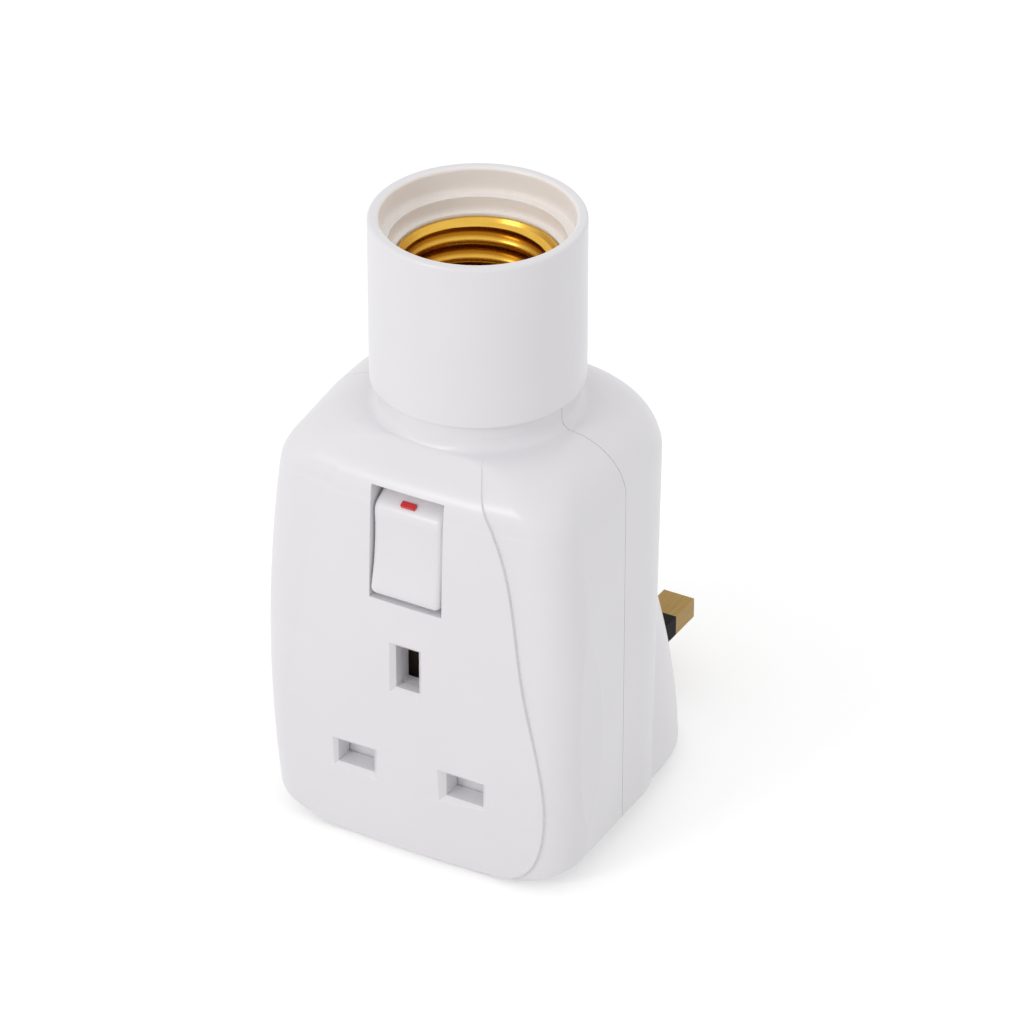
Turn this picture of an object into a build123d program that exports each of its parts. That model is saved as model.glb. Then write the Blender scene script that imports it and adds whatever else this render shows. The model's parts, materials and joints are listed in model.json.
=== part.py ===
from build123d import *
import os
from math import asin, cos, hypot, radians, sin, sqrt

os.makedirs("parts", exist_ok=True)

# A plug-in lamp socket: a moulded two-part case with plug pins at the back, a switched and
# shuttered outlet in front and a screw lamp holder standing on its neck.
# X runs to the right, Y to the back and Z up. The origin lies on the floor under the lamp axis.

# Plug pins and outlet slots share one standard triangle
pin_half_pitch = 11.1
earth_rise = 22.2
line_pin_width = 6.35
line_pin_height = 4.0
line_pin_length = 17.7
earth_pin_width = 4.0
earth_pin_height = 8.0
earth_pin_length = 22.7
pin_tip_chamfer = 1.1
pin_sleeve_length = 9.5
pin_sleeve_wall = 0.7
pin_tail = 8.0
pin_fit = 0.05
plug_line_z = 12.0
outlet_line_z = 17.8
line_slot_width = 7.47
line_slot_height = 4.6
earth_slot_width = 4.67
earth_slot_height = 8.65
slot_depth = 4.6
slot_lip = 0.9

# Case: a bowed box that draws in over its shoulder to a round neck
case_half_width = 33.0
side_bow_z = 30.0
side_bow_radius_low = 190.0
side_bow_radius_high = 240.0
front_depth = 25.5
front_bow_z = 38.0
front_bow_radius = 650.0
front_crown_radius = 230.0
deck_z = 76.6
deck_rise = 6.9
deck_edge = 0.2
rear_half_width = 30.2
rear_depth = 26.3
rear_draft = 0.031
rear_shoulder_power = 0.82
front_corner = 7.4
rear_corner = 19.4
shoulder_z = 72.0
shoulder_rise = 10.3
neck_radius = 17.5
neck_overlap = 1.5
neck_flat = 0.5
neck_fillet = 2.0
neck_top = 87.0
wall = 2.2
seam_y = -1.5
seam_gap = 0.12
foot_edge = 1.2
foot_flat = 9.0
foot_bow_radius = 52.0
foot_corner = 4.0
foot_tuck = 0.3
body_steps = 4
shoulder_steps = 6

# Raised panel on the front: how far it stands out, and each height with its margin from the side
panel_proud = 0.6
panel_edge = [(87.0, 18.8), (78.8, 15.2), (72.2, 12.7), (42.6, 10.1), (10.0, 6.1), (4.4, 7.6), (1.2, 11.7)]

# Plug base: the swelling low on the back that carries the pins
plug_face = 39.0
plug_half_width = 28.5
plug_side_radius = 95.0
plug_flank_y = 15.5
plug_flank_radius = 30.0
plug_root_y = 6.0
plug_edge = 2.5
plug_top = 46.0
plug_top_edge = 5.0
plug_top_turn = 85.0
plug_steps = 4
plug_top_steps = 3
pin_block_wall = 2.2

# Case screws, each in a deep hole from the back
upper_screw_x = 19.5
upper_screw_z = 62.0
lower_screw_z = 9.0
screw_radius = 1.5
screw_head_radius = 2.9
screw_head_height = 2.0
screw_engagement = 10.0
screw_pilot_fit = 0.05
screw_hole_fit = 0.2
screw_seat_y = 6.0
screw_post_wall = 1.6
rear_post_wall = 1.2

# Lamp sleeve on the neck
sleeve_radius = 19.0
sleeve_top = 118.7
sleeve_seat_gap = 0.15
rim_bore = 17.0
rim_bore_depth = 5.0
ledge_bore = 15.5
ledge_depth = 2.8
sleeve_edge = 0.6
spigot_wall = 1.7
spigot_fit = 0.2
spigot_flange = 1.0
spigot_flange_height = 1.7
sleeve_floor = 3.0
sleeve_floor_z = 83.5

# Lamp holder inside the sleeve
base_thickness = 3.0
base_fit = 0.2
shell_radius = 13.9
shell_sheet = 0.5
shell_length = 21.0
shell_step = 1.0
shell_step_height = 4.6
shell_lip = 0.5
shell_lip_height = 0.8
shell_flange = 5.1
rivet_radius = 1.2
rivet_head_radius = 1.8
rivet_head_height = 0.8
rivet_fit = 0.05
rivet_edge = 0.2
centre_contact_rise = 3.0
centre_ramp_x = 3.0
centre_flat_x = 0.5
centre_end_x = 2.5
centre_lip = 1.2
centre_tail_x = 7.0
centre_tail_width = 4.4
centre_tail_lap = 4.6

# Sheet metal
strip = 0.8
strap = 1.0
strap_width = 6.0
strap_front_y = 3.5
strap_run_z = 17.0
strap_bend = 2.0
strip_bend = 0.9
strap_over = 0.3
strap_under = 0.8
terminal_width = 5.0
terminal_drop = 11.0

# Outlet contacts in their carrier
carrier_gap = 0.25
shutter_thickness = 2.6
carrier_plate = 2.0
carrier_half_width = 23.5
carrier_bottom = 12.6
carrier_top = 46.0
carrier_corner = 3.0
pocket_wall = 1.0
pocket_fit = 0.4
pocket_back_y = -1.0
contact_mouth = 0.5
contact_half_gap = 2.6
contact_pinch = 0.9
contact_width = 6.5
pillar_x = 20.5
pillar_z = 28.0
pillar_radius = 2.6
carrier_screw_radius = 1.2
carrier_screw_head = 2.3
carrier_screw_head_height = 1.4
carrier_screw_length = 4.2

# Shutter behind the line and neutral slots
shutter_cover = 1.0
shutter_skirt = 2.7
shutter_travel = 7.3
shutter_ramp = 2.3
shutter_guide = 1.5
shutter_fit = 0.3
spring_seat_gap = 0.3
shutter_spring_length = 10.4
shutter_spring_radius = 1.0
shutter_spring_wire = 0.4
shutter_spring_turns = 6
spring_peg = 0.6
spring_peg_height = 1.6

# Rocker switch
switch_z = 64.45
recess_width = 14.5
recess_height = 22.3
recess_wall = 1.5
rocker_gap = 0.3
rocker_pivot_y = -16.0
rocker_tilt = 10.0
rocker_reach = 8.5
rocker_crest = 8.6
rocker_bevel_back = 3.3
rocker_bevel_out = 1.4
rocker_dish = 0.5
rocker_edge = 0.7
rocker_back = 2.0
rocker_back_half = 6.0
rocker_axle_radius = 1.6
rocker_axle_length = 1.1
axle_fit = 0.05
mark_width = 3.0
mark_height = 1.4
mark_depth = 0.6
stem_radius = 2.4
stem_length = 3.6
plunger_radius = 1.25
plunger_fit = 0.1
plunger_length = 4.6
plunger_clearance = 0.2
plunger_spring_wire = 0.35
plunger_spring_room = 3.0
plunger_spring_turns = 4
seesaw_tilt = 8.0
seesaw_width = 7.2
seesaw_half_length = 10.0
seesaw_pivot_y = -7.4
seesaw_pin_radius = 0.7
seesaw_pin_half = 5.6
contact_dot_radius = 1.6
contact_dot_height = 0.5
contact_dot_reach = 8.4
contact_dot_gap = 0.35
bracket_ear_x = 4.3
bracket_ear_half = 2.4
switch_base_y = -4.5
switch_base = 2.0
bracket_tail_height = 3.5
bracket_tail_drop = 10.25

# Helpers for cutting: a space larger than the part, an overshoot and a matching distance
space = 200.0
cut_over = 2.0
near = 0.01

earth_slot_z = outlet_line_z + earth_rise
plug_earth_z = plug_line_z + earth_rise
pin_inner_y = plug_face - pin_tail
slot_back_y = slot_depth - front_depth
shutter_front_y = slot_back_y + carrier_gap
carrier_front_y = shutter_front_y + shutter_thickness + carrier_gap
carrier_back_y = carrier_front_y + carrier_plate
base_bottom_z = sleeve_floor_z + sleeve_floor
base_top_z = base_bottom_z + base_thickness
base_radius = shell_radius + shell_lip
rivet_x = shell_radius - shell_sheet - shell_step - rivet_head_radius - rivet_edge
neck_root = neck_radius - neck_overlap
lip_z = shoulder_z + shoulder_rise - wall
spigot_bottom = lip_z - spigot_fit - spigot_flange_height
bracket_tail_z = switch_z - bracket_tail_drop
neutral_strap_top = spigot_bottom - strap_under
line_strap_top = bracket_tail_z + bracket_tail_height + strap_over


def span(x0, x1, y0, y1, z0, z1):
    """A plate or bar between two corners."""
    return Pos((x0 + x1) / 2, (y0 + y1) / 2, (z0 + z1) / 2) * Box(x1 - x0, y1 - y0, z1 - z0)


def rod_y(x, z, radius, y0, y1):
    """A round bar along Y from y0 to y1."""
    return Pos(x, (y0 + y1) / 2, z) * Rot(90, 0, 0) * Cylinder(radius, abs(y1 - y0))


def rod_z(x, y, radius, z0, z1):
    """A round bar along Z from z0 to z1."""
    return Pos(x, y, (z0 + z1) / 2) * Cylinder(radius, z1 - z0)


def rod_x(y, z, radius, x0, x1):
    """A round bar along X from x0 to x1."""
    return Pos((x0 + x1) / 2, y, z) * Rot(0, 90, 0) * Cylinder(radius, x1 - x0)


def bent_strip(points, sheet, bend, plane, width):
    """Sheet metal bent along points in a plane, as wide as given across that plane."""
    profile = trace(FilletPolyline(*points, radius=bend), line_width=sheet)
    return extrude(plane * profile, amount=width / 2, both=True)


def save(shape, name):
    export_step(shape, f"parts/{name}.step")


def front_at(z):
    """How far the middle of the front stands before the lamp axis: a bowed face, then a sloping deck."""
    face = front_depth - (z - front_bow_z) ** 2 / (2 * front_bow_radius)
    climb = (z - deck_z) / deck_rise
    deck = (climb + sqrt(climb ** 2 + deck_edge ** 2)) / 2
    return face - (face - neck_root) * deck


def side_at(z):
    """Half the width of the case across its front corners at height z."""
    bow = side_bow_radius_low if z < side_bow_z else side_bow_radius_high
    return case_half_width - (z - side_bow_z) ** 2 / (2 * bow)


def rear_at(z):
    """How far the back stands behind the lamp axis at height z, below the shoulder."""
    return rear_depth - rear_draft * max(0.0, shoulder_z - z)


def case_outline(z, drop, inset, level, proud):
    """Plan of the case at height z, drawn to the neck by drop, in by inset, its front out by proud."""
    half = side_at(z) + (neck_root - side_at(z)) * drop - inset
    rear_share = (1 - drop) ** rear_shoulder_power
    rear_half = neck_root + (rear_half_width - neck_root) * rear_share - inset
    front = front_at(z) + proud * (1 - drop) - inset
    rear = neck_root + (rear_at(z) - neck_root) * rear_share - inset
    crown = half ** 2 / (2 * front_crown_radius) * (1 - drop)
    front_radius = front_corner + (neck_root - neck_flat - front_corner) * drop - inset
    rear_radius = rear_corner + (neck_root - neck_flat - rear_corner) * drop - inset
    if drop < 1:
        front_edge = ThreePointArc((-half, crown - front), (0, -front), (half, crown - front))
    else:
        front_edge = Line((-half, -front), (half, -front))
    plan = make_face([
        front_edge,
        Polyline((half, crown - front), (rear_half, seam_y), (rear_half, rear), (-rear_half, rear),
                 (-rear_half, seam_y), (-half, crown - front)),
    ])
    plan = fillet(plan.vertices().group_by(Axis.Y)[-1], rear_radius)
    plan = fillet(plan.vertices().sort_by(Axis.Y)[:2], front_radius)
    return Pos(0, 0, level) * plan


def case_body(inset, bottom, proud=0.0):
    """The case from bottom to the root of the neck, drawn in by inset: bowed box and shoulder."""
    body = []
    for step in range(body_steps + 1):
        z = bottom + (shoulder_z - bottom) * step / body_steps
        body.append(case_outline(z, 0, inset, z, proud))
    shoulder = []
    for step in range(shoulder_steps + 1):
        angle = radians(90) * step / shoulder_steps
        drop = 1 - cos(angle) if step < shoulder_steps else 1
        z = shoulder_z + shoulder_rise * sin(angle)
        shoulder.append(case_outline(z, drop, inset * cos(angle), z - inset * sin(angle), proud))
    return loft(body) + loft(shoulder)


def foot_rounded(solid):
    """A case body with the edge it stands on rounded."""
    return fillet(solid.faces().sort_by(Axis.Z)[0].edges(), foot_edge)


def foot_space(inset):
    """The space the case keeps to, seen from the front: a flat foot bowed up to two rounded corners."""
    half = side_at(foot_corner) + foot_tuck - inset
    radius = foot_bow_radius - inset
    turn = asin((half - foot_flat) / radius)

    def bow(angle, side):
        return (side * (foot_flat + radius * sin(angle)), foot_bow_radius - radius * cos(angle))

    outline = make_face([
        Line(bow(0, -1), bow(0, 1)),
        ThreePointArc(bow(0, 1), bow(turn / 2, 1), bow(turn, 1)),
        Polyline(bow(turn, 1), (half, space), (-half, space), bow(turn, -1)),
        ThreePointArc(bow(turn, -1), bow(turn / 2, -1), bow(0, -1)),
    ])
    corners = outline.vertices().filter_by_position(Axis.Y, inset + near, foot_bow_radius)
    outline = fillet(corners, foot_corner - inset)
    return extrude(Plane.XZ * outline, amount=space, both=True)


def plug_outline(z, inset):
    """Plan of the plug base at height z, drawn in by inset."""
    half = plug_half_width - z ** 2 / (2 * plug_side_radius) - inset
    radius = plug_flank_radius - inset
    face_y = plug_face - inset
    turn = asin((face_y - plug_flank_y) / radius)

    def flank(angle, side):
        return (side * (half - radius * (1 - cos(angle))), plug_flank_y + radius * sin(angle))

    outline = [
        Polyline(flank(0, -1), (-half, plug_root_y), (half, plug_root_y), flank(0, 1)),
        ThreePointArc(flank(0, 1), flank(turn / 2, 1), flank(turn, 1)),
        Line(flank(turn, 1), flank(turn, -1)),
        ThreePointArc(flank(turn, -1), flank(turn / 2, -1), flank(0, -1)),
    ]
    plan = make_face(outline)
    plan = fillet(plan.vertices().group_by(Axis.Y)[-1], plug_edge)
    return Pos(0, 0, z) * plan


def plug_body(inset, bottom):
    """The plug base from bottom up, drawn in by inset: its sides and its rounded top."""
    edge = plug_top_edge - inset
    level = plug_top - plug_top_edge
    sides = []
    for step in range(plug_steps + 1):
        sides.append(plug_outline(bottom + (level - bottom) * step / plug_steps, inset))
    dome = []
    for step in range(plug_top_steps + 1):
        angle = radians(plug_top_turn) * step / plug_top_steps
        dome.append(plug_outline(level + edge * sin(angle), inset + edge * (1 - cos(angle))))
    return loft(sides) + loft(dome)


def screw_places():
    return [(-upper_screw_x, upper_screw_z), (upper_screw_x, upper_screw_z), (0, lower_screw_z)]


foot_outer = foot_space(0)
foot_inner = foot_space(wall)
case_outer = foot_rounded(case_body(0, 0))
case_inner = case_body(wall, wall)
panel_right = [(side_at(z) - margin, z) for z, margin in panel_edge]
panel_left = [(-x, z) for x, z in panel_right]
panel_outline = make_face([
    Spline(*panel_right),
    Line(panel_right[-1], panel_left[-1]),
    Spline(*reversed(panel_left)),
    Line(panel_left[0], panel_right[0]),
])
panel_space = extrude(Plane.XZ * panel_outline, amount=space)
panel = foot_rounded(case_body(0, 0, panel_proud)) & panel_space
neck = rod_z(0, 0, neck_radius, lip_z, neck_top)
neck_bore = rod_z(0, 0, neck_radius - spigot_wall, lip_z - wall, neck_top)
necked_body = case_outer + neck
neck_foot = [
    edge for edge in necked_body.edges().filter_by_position(Axis.Z, shoulder_z, neck_top - near)
    if all(abs(hypot(v.X, v.Y) - neck_radius) < near for v in edge.vertices())]
full_body = (fillet(neck_foot, neck_fillet) + panel) & foot_outer
hollow = (case_inner & foot_inner) + neck_bore

# Front shell: half of the case with the outlet pad, the switch well and the screw posts
front_space = span(-space, space, -space, seam_y, -space, space)
front_shell = (full_body & front_space) - hollow

pad_half = pin_half_pitch + line_slot_width / 2 + wall
pad = span(-pad_half, pad_half, slot_back_y - wall, slot_back_y,
           outlet_line_z - line_slot_height / 2 - wall, earth_slot_z + earth_slot_height / 2 + wall)
well_x = recess_width / 2 + recess_wall
well_z = recess_height / 2 + recess_wall
well = span(-well_x, well_x, -front_depth, switch_base_y, switch_z - well_z, switch_z + well_z)
inner_parts = pad + well
for x in (-pillar_x, pillar_x):
    inner_parts += rod_y(x, pillar_z, pillar_radius, wall / 2 - front_at(pillar_z), carrier_front_y)
for x, z in screw_places():
    inner_parts += rod_y(x, z, screw_radius + screw_post_wall, wall / 2 - front_at(z), seam_y)
front_shell += inner_parts & case_outer & front_space

recess = span(-recess_width / 2, recess_width / 2, -2 * front_depth, switch_base_y,
              switch_z - recess_height / 2, switch_z + recess_height / 2)
front_shell -= recess
axle_reach = recess_width / 2 - rocker_gap + rocker_axle_length + axle_fit
front_shell -= rod_x(rocker_pivot_y, switch_z, rocker_axle_radius + axle_fit, -axle_reach, axle_reach)
for x, z, width, height in [(-pin_half_pitch, outlet_line_z, line_slot_width, line_slot_height),
                            (pin_half_pitch, outlet_line_z, line_slot_width, line_slot_height),
                            (0, earth_slot_z, earth_slot_width, earth_slot_height)]:
    front_shell -= Pos(x, slot_back_y - slot_depth / 2, z) * Box(width, 2 * slot_depth, height)
    face_y = x ** 2 / (2 * front_crown_radius) - front_at(z) - panel_proud
    mouth = 2 * (slot_lip + cut_over)
    front_shell -= loft([
        Plane.XZ.offset(-face_y - slot_lip) * Pos(x, z) * Rectangle(width, height),
        Plane.XZ.offset(-face_y + cut_over) * Pos(x, z) * Rectangle(width + mouth, height + mouth)])
for x in (-pillar_x, pillar_x):
    front_shell -= rod_y(x, pillar_z, carrier_screw_radius + screw_pilot_fit,
                         carrier_front_y - carrier_screw_length, carrier_front_y)
for x, z in screw_places():
    front_shell -= rod_y(x, z, screw_radius + screw_pilot_fit, seam_y - screw_engagement, seam_y)
save(front_shell, "front_shell")

# Rear shell: the other half, with the plug base, pin blocks and deep screw holes
rear_space = span(-space, space, seam_y + seam_gap, space, -space, space)
plug_outer = plug_body(0, 0)
plug_foot = plug_outer.faces().sort_by(Axis.Z)[0].edges()
plug_outer = fillet([edge for edge in plug_foot if edge.center().Y > plug_root_y + near], foot_edge)
plug_inner = plug_body(wall, wall)
rear_body = (full_body + (plug_outer & foot_outer)) & rear_space
rear_shell = rear_body - hollow - (plug_inner & foot_inner)
pins = [(-pin_half_pitch, plug_line_z, line_pin_width, line_pin_height),
        (pin_half_pitch, plug_line_z, line_pin_width, line_pin_height),
        (0, plug_earth_z, earth_pin_width, earth_pin_height)]
rear_parts = []
for x, z, width, height in pins:
    rear_parts.append(Pos(x, plug_face - (pin_tail - strap) / 2, z) * Box(
        width + 2 * pin_block_wall, pin_tail - strap, height + 2 * pin_block_wall))
bore_radius = screw_head_radius + screw_hole_fit
for x, z in screw_places():
    rear_parts.append(rod_y(x, z, bore_radius + rear_post_wall, seam_y + seam_gap, plug_face))
for piece in rear_parts:
    rear_shell += piece & rear_body
for x, z, width, height in pins:
    rear_shell -= Pos(x, plug_face, z) * Box(width + 2 * pin_fit, 2 * pin_tail, height + 2 * pin_fit)
for x, z in screw_places():
    rear_shell -= rod_y(x, z, bore_radius, screw_seat_y, plug_face)
    rear_shell -= rod_y(x, z, screw_radius + screw_hole_fit, seam_y, screw_seat_y)
save(rear_shell, "rear_shell")

# Case screws: pan heads at the bottom of the deep holes
case_screws = []
for x, z in screw_places():
    screw = rod_y(x, z, screw_radius, seam_y - screw_engagement, screw_seat_y)
    screw += rod_y(x, z, screw_head_radius, screw_seat_y, screw_seat_y + screw_head_height)
    case_screws.append(screw)
save(Compound(children=case_screws), "case_screws")

# Lamp sleeve: turned profile with a stepped mouth and a spigot held in the neck
sleeve_bottom = neck_top + sleeve_seat_gap
spigot_radius = neck_radius - spigot_wall - spigot_fit
flange_radius = spigot_radius + spigot_flange
spigot_bore = spigot_radius - spigot_wall
ledge_z = sleeve_top - rim_bore_depth
cup_z = ledge_z - ledge_depth
cup_radius = base_radius + base_fit
sleeve_profile = Polyline(
    (spigot_bore, spigot_bottom), (flange_radius, spigot_bottom),
    (flange_radius, spigot_bottom + spigot_flange_height),
    (spigot_radius, spigot_bottom + spigot_flange_height), (spigot_radius, sleeve_bottom),
    (sleeve_radius, sleeve_bottom), (sleeve_radius, sleeve_top), (rim_bore, sleeve_top),
    (rim_bore, ledge_z), (ledge_bore, ledge_z), (ledge_bore, cup_z), (cup_radius, cup_z),
    (cup_radius, base_bottom_z), (0, base_bottom_z), (0, sleeve_floor_z), (spigot_bore, sleeve_floor_z),
    close=True)
sleeve_face = make_face(sleeve_profile)
rim_points = [v for v in sleeve_face.vertices() if v.X > rim_bore - near and v.Y > ledge_z + near]
rim_points += [v for v in sleeve_face.vertices() if v.X > sleeve_radius - near and v.Y < ledge_z]
sleeve_face = fillet(rim_points, sleeve_edge)
lamp_sleeve = revolve(Plane.XZ * sleeve_face, Axis.Z)
rivet_hole = rivet_radius + rivet_fit
tail_slot = span(centre_tail_x - strip / 2 - rivet_fit, centre_tail_x + strip / 2 + rivet_fit,
                 -centre_tail_width / 2 - rivet_fit, centre_tail_width / 2 + rivet_fit,
                 sleeve_floor_z - cut_over, base_top_z + cut_over)
rivet_holes = [rod_z(x, 0, rivet_hole, sleeve_floor_z - cut_over, base_top_z + cut_over)
               for x in (-rivet_x, rivet_x)]
for cut in [tail_slot] + rivet_holes:
    lamp_sleeve -= cut
save(lamp_sleeve, "lamp_sleeve")

# Lamp base: insulating disc on the sleeve floor
lamp_base = rod_z(0, 0, base_radius, base_bottom_z, base_top_z)
for cut in [tail_slot] + rivet_holes:
    lamp_base -= cut
save(lamp_base, "lamp_base")

# Screw shell: drawn brass cup with an open floor, a narrower foot and a flared lip
shell_top = base_top_z + shell_length
shell_bore = shell_radius - shell_sheet
foot_top_z = base_top_z + shell_step_height
thread_z = foot_top_z + shell_step
shell_profile = Polyline(
    (shell_radius - shell_flange, base_top_z), (shell_radius - shell_step, base_top_z),
    (shell_radius - shell_step, foot_top_z), (shell_radius, thread_z),
    (shell_radius, shell_top - shell_lip_height), (shell_radius + shell_lip, shell_top),
    (shell_bore + shell_lip, shell_top), (shell_bore, shell_top - shell_lip_height),
    (shell_bore, thread_z), (shell_bore - shell_step, foot_top_z),
    (shell_bore - shell_step, base_top_z + shell_sheet),
    (shell_radius - shell_flange, base_top_z + shell_sheet), close=True)
screw_shell = revolve(Plane.XZ * make_face(shell_profile), Axis.Z)
for cut in rivet_holes:
    screw_shell -= cut
save(screw_shell, "screw_shell")

# Centre contact: bent brass tongue, its tail down through the floor
ear_top = switch_z + well_z + terminal_width / 2
centre_tail_z = ear_top - centre_tail_lap
tongue_z = base_top_z + strip
centre_top_z = tongue_z + centre_contact_rise
centre_points = [(centre_tail_x, centre_tail_z), (centre_tail_x, tongue_z), (centre_ramp_x, tongue_z),
                 (centre_flat_x, centre_top_z), (-centre_end_x, centre_top_z),
                 (-centre_end_x - centre_lip, centre_top_z - centre_lip)]
centre_contact = bent_strip(centre_points, strip, strip_bend, Plane.XZ, centre_tail_width)
save(centre_contact, "centre_contact")

# Shell terminal: strip under the sleeve floor, bent down to meet the neutral strap
terminal_z = sleeve_floor_z - strip / 2
terminal_y = strap_front_y - strip / 2
shell_terminal = bent_strip(
    [(-terminal_width / 2, terminal_z), (terminal_y, terminal_z), (terminal_y, terminal_z - terminal_drop)],
    strip, strip_bend, Plane.YZ.offset(-rivet_x), terminal_width)
shell_terminal -= rivet_holes[0]
save(shell_terminal, "shell_terminal")

# Lamp rivets: they clamp shell, disc and sleeve floor together
lamp_rivets = []
for x, grip in ((-rivet_x, strip), (rivet_x, 0)):
    low = sleeve_floor_z - grip
    high = base_top_z + shell_sheet
    rivet = rod_z(x, 0, rivet_radius, low, high)
    rivet += rod_z(x, 0, rivet_head_radius, high, high + rivet_head_height)
    rivet += rod_z(x, 0, rivet_head_radius, low - rivet_head_height, low)
    lamp_rivets.append(rivet)
save(Compound(children=lamp_rivets), "lamp_rivets")

# Plug pins: the line and neutral pins are stepped to take a flush black sleeve
earth_pin = Pos(0, (pin_inner_y + plug_face + earth_pin_length) / 2, plug_earth_z) * Box(
    earth_pin_width, pin_tail + earth_pin_length, earth_pin_height)
earth_pin = chamfer(earth_pin.faces().sort_by(Axis.Y)[-1].edges(), pin_tip_chamfer)
save(earth_pin, "earth_pin")
for name, x in (("neutral", -pin_half_pitch), ("line", pin_half_pitch)):
    pin = Pos(x, (pin_inner_y + plug_face + line_pin_length) / 2, plug_line_z) * Box(
        line_pin_width, pin_tail + line_pin_length, line_pin_height)
    pin = chamfer(pin.faces().sort_by(Axis.Y)[-1].edges(), pin_tip_chamfer)
    cover = Pos(x, plug_face + pin_sleeve_length / 2, plug_line_z) * Box(
        line_pin_width, pin_sleeve_length, line_pin_height)
    cover -= Pos(x, plug_face + pin_sleeve_length / 2, plug_line_z) * Box(
        line_pin_width - 2 * pin_sleeve_wall, pin_sleeve_length, line_pin_height - 2 * pin_sleeve_wall)
    save(pin - cover, f"{name}_pin")
    save(cover, f"{name}_pin_sleeve")

# Contact carrier: moulded plate with a pocket for each contact
carrier = span(-carrier_half_width, carrier_half_width, carrier_front_y, carrier_back_y,
               carrier_bottom, carrier_top)
carrier = fillet(carrier.edges().filter_by(Axis.Y), carrier_corner)
contact_half = contact_half_gap + strip
line_pocket_x = contact_width / 2 + pocket_fit
line_pocket_z = contact_half + pocket_fit
line_outlet = (outlet_line_z, line_pocket_x, line_pocket_z, line_slot_width, line_slot_height)
outlets = [(-pin_half_pitch, *line_outlet), (pin_half_pitch, *line_outlet),
           (0, earth_slot_z, line_pocket_z, line_pocket_x, earth_slot_width, earth_slot_height)]
for x, z, half_x, half_z, width, height in outlets:
    carrier += span(x - half_x - pocket_wall, x + half_x + pocket_wall, carrier_back_y, pocket_back_y,
                    z - half_z - pocket_wall, z + half_z + pocket_wall)
guide_x = pin_half_pitch + line_slot_width / 2 + shutter_cover + shutter_fit
shutter_bottom = outlet_line_z - line_slot_height / 2 - shutter_skirt
shutter_top = outlet_line_z + line_slot_height / 2 + shutter_cover
for side in (-1, 1):
    inner, outer = sorted((side * guide_x, side * (guide_x + shutter_guide)))
    carrier += span(inner, outer, shutter_front_y, carrier_front_y,
                    carrier_bottom, shutter_top + shutter_travel)
seat_z = shutter_top + shutter_spring_length + 2 * spring_seat_gap
shutter_mid_y = (shutter_front_y + carrier_front_y - carrier_gap) / 2
carrier += span(-shutter_spring_radius, shutter_spring_radius, shutter_front_y, carrier_front_y,
                seat_z, seat_z + pocket_wall)
for x, z, half_x, half_z, width, height in outlets:
    carrier -= span(x - half_x, x + half_x, carrier_back_y, pocket_back_y, z - half_z, z + half_z)
    carrier -= span(x - width / 2, x + width / 2, carrier_front_y, carrier_back_y,
                    z - height / 2, z + height / 2)
for x in (-pillar_x, pillar_x):
    carrier -= rod_y(x, pillar_z, carrier_screw_radius + screw_hole_fit, carrier_front_y, carrier_back_y)
save(carrier, "contact_carrier")

carrier_screws = []
for x in (-pillar_x, pillar_x):
    screw = rod_y(x, pillar_z, carrier_screw_radius, carrier_front_y - carrier_screw_length, carrier_back_y)
    screw += rod_y(x, pillar_z, carrier_screw_head, carrier_back_y,
                   carrier_back_y + carrier_screw_head_height)
    carrier_screws.append(screw)
save(Compound(children=carrier_screws), "carrier_screws")


def contact_clip(plane, width):
    """A folded brass clip whose two leaves pinch the pin."""
    back = strap_front_y - strip / 2
    mouth = carrier_back_y + contact_mouth
    spread = contact_half_gap + strip / 2
    pinch_y = mouth + contact_width / 2
    leaf = [(mouth, spread), (pinch_y, spread - contact_pinch), (pinch_y + contact_width, spread)]
    other = [(y, -z) for y, z in reversed(leaf)]
    return bent_strip(leaf + [(back, spread), (back, -spread)] + other, strip, strip_bend, plane, width)


# Outlet contacts
for name, x in (("neutral", -pin_half_pitch), ("line", pin_half_pitch)):
    clip = contact_clip(Plane((x, 0, outlet_line_z), x_dir=(0, 1, 0), z_dir=(1, 0, 0)), contact_width)
    save(clip, f"{name}_contact")
earth_clip = contact_clip(Plane((0, 0, earth_slot_z), x_dir=(0, 1, 0), z_dir=(0, 0, 1)), contact_width)
save(earth_clip, "earth_contact")

# Straps from the pins to the contacts and up the back of the switch
strap_y = strap_front_y + strap / 2
strap_back_y = pin_inner_y - strap / 2
for name, side, top in (("neutral", -1, neutral_strap_top), ("line", 1, line_strap_top)):
    strap_bar = bent_strip(
        [(strap_back_y, plug_line_z - line_pin_height / 2), (strap_back_y, strap_run_z),
         (strap_y, strap_run_z), (strap_y, top)],
        strap, strap_bend, Plane.YZ.offset(side * pin_half_pitch), strap_width)
    save(strap_bar, f"{name}_strap")
earth_strap = bent_strip(
    [(strap_back_y, plug_earth_z - earth_pin_height / 2), (strap_back_y, earth_slot_z),
     (strap_y, earth_slot_z), (strap_y, earth_slot_z + contact_width / 2)],
    strap, strap_bend / 2, Plane.YZ, strap_width)
save(earth_strap, "earth_strap")

# Shutter: one slider with a ramp behind each slot, and its spring
shutter_half = guide_x - shutter_fit
shutter_back_y = shutter_front_y + shutter_thickness
shutter_side = make_face(Polyline(
    (shutter_front_y, shutter_top), (shutter_back_y, shutter_top), (shutter_back_y, shutter_bottom),
    (shutter_front_y + shutter_ramp, shutter_bottom), (shutter_front_y, outlet_line_z), close=True))
shutter = extrude(Plane.YZ * shutter_side, amount=shutter_half, both=True)
shutter += rod_z(0, shutter_mid_y, spring_peg, shutter_top, shutter_top + spring_peg_height)
save(shutter, "shutter")


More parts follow.
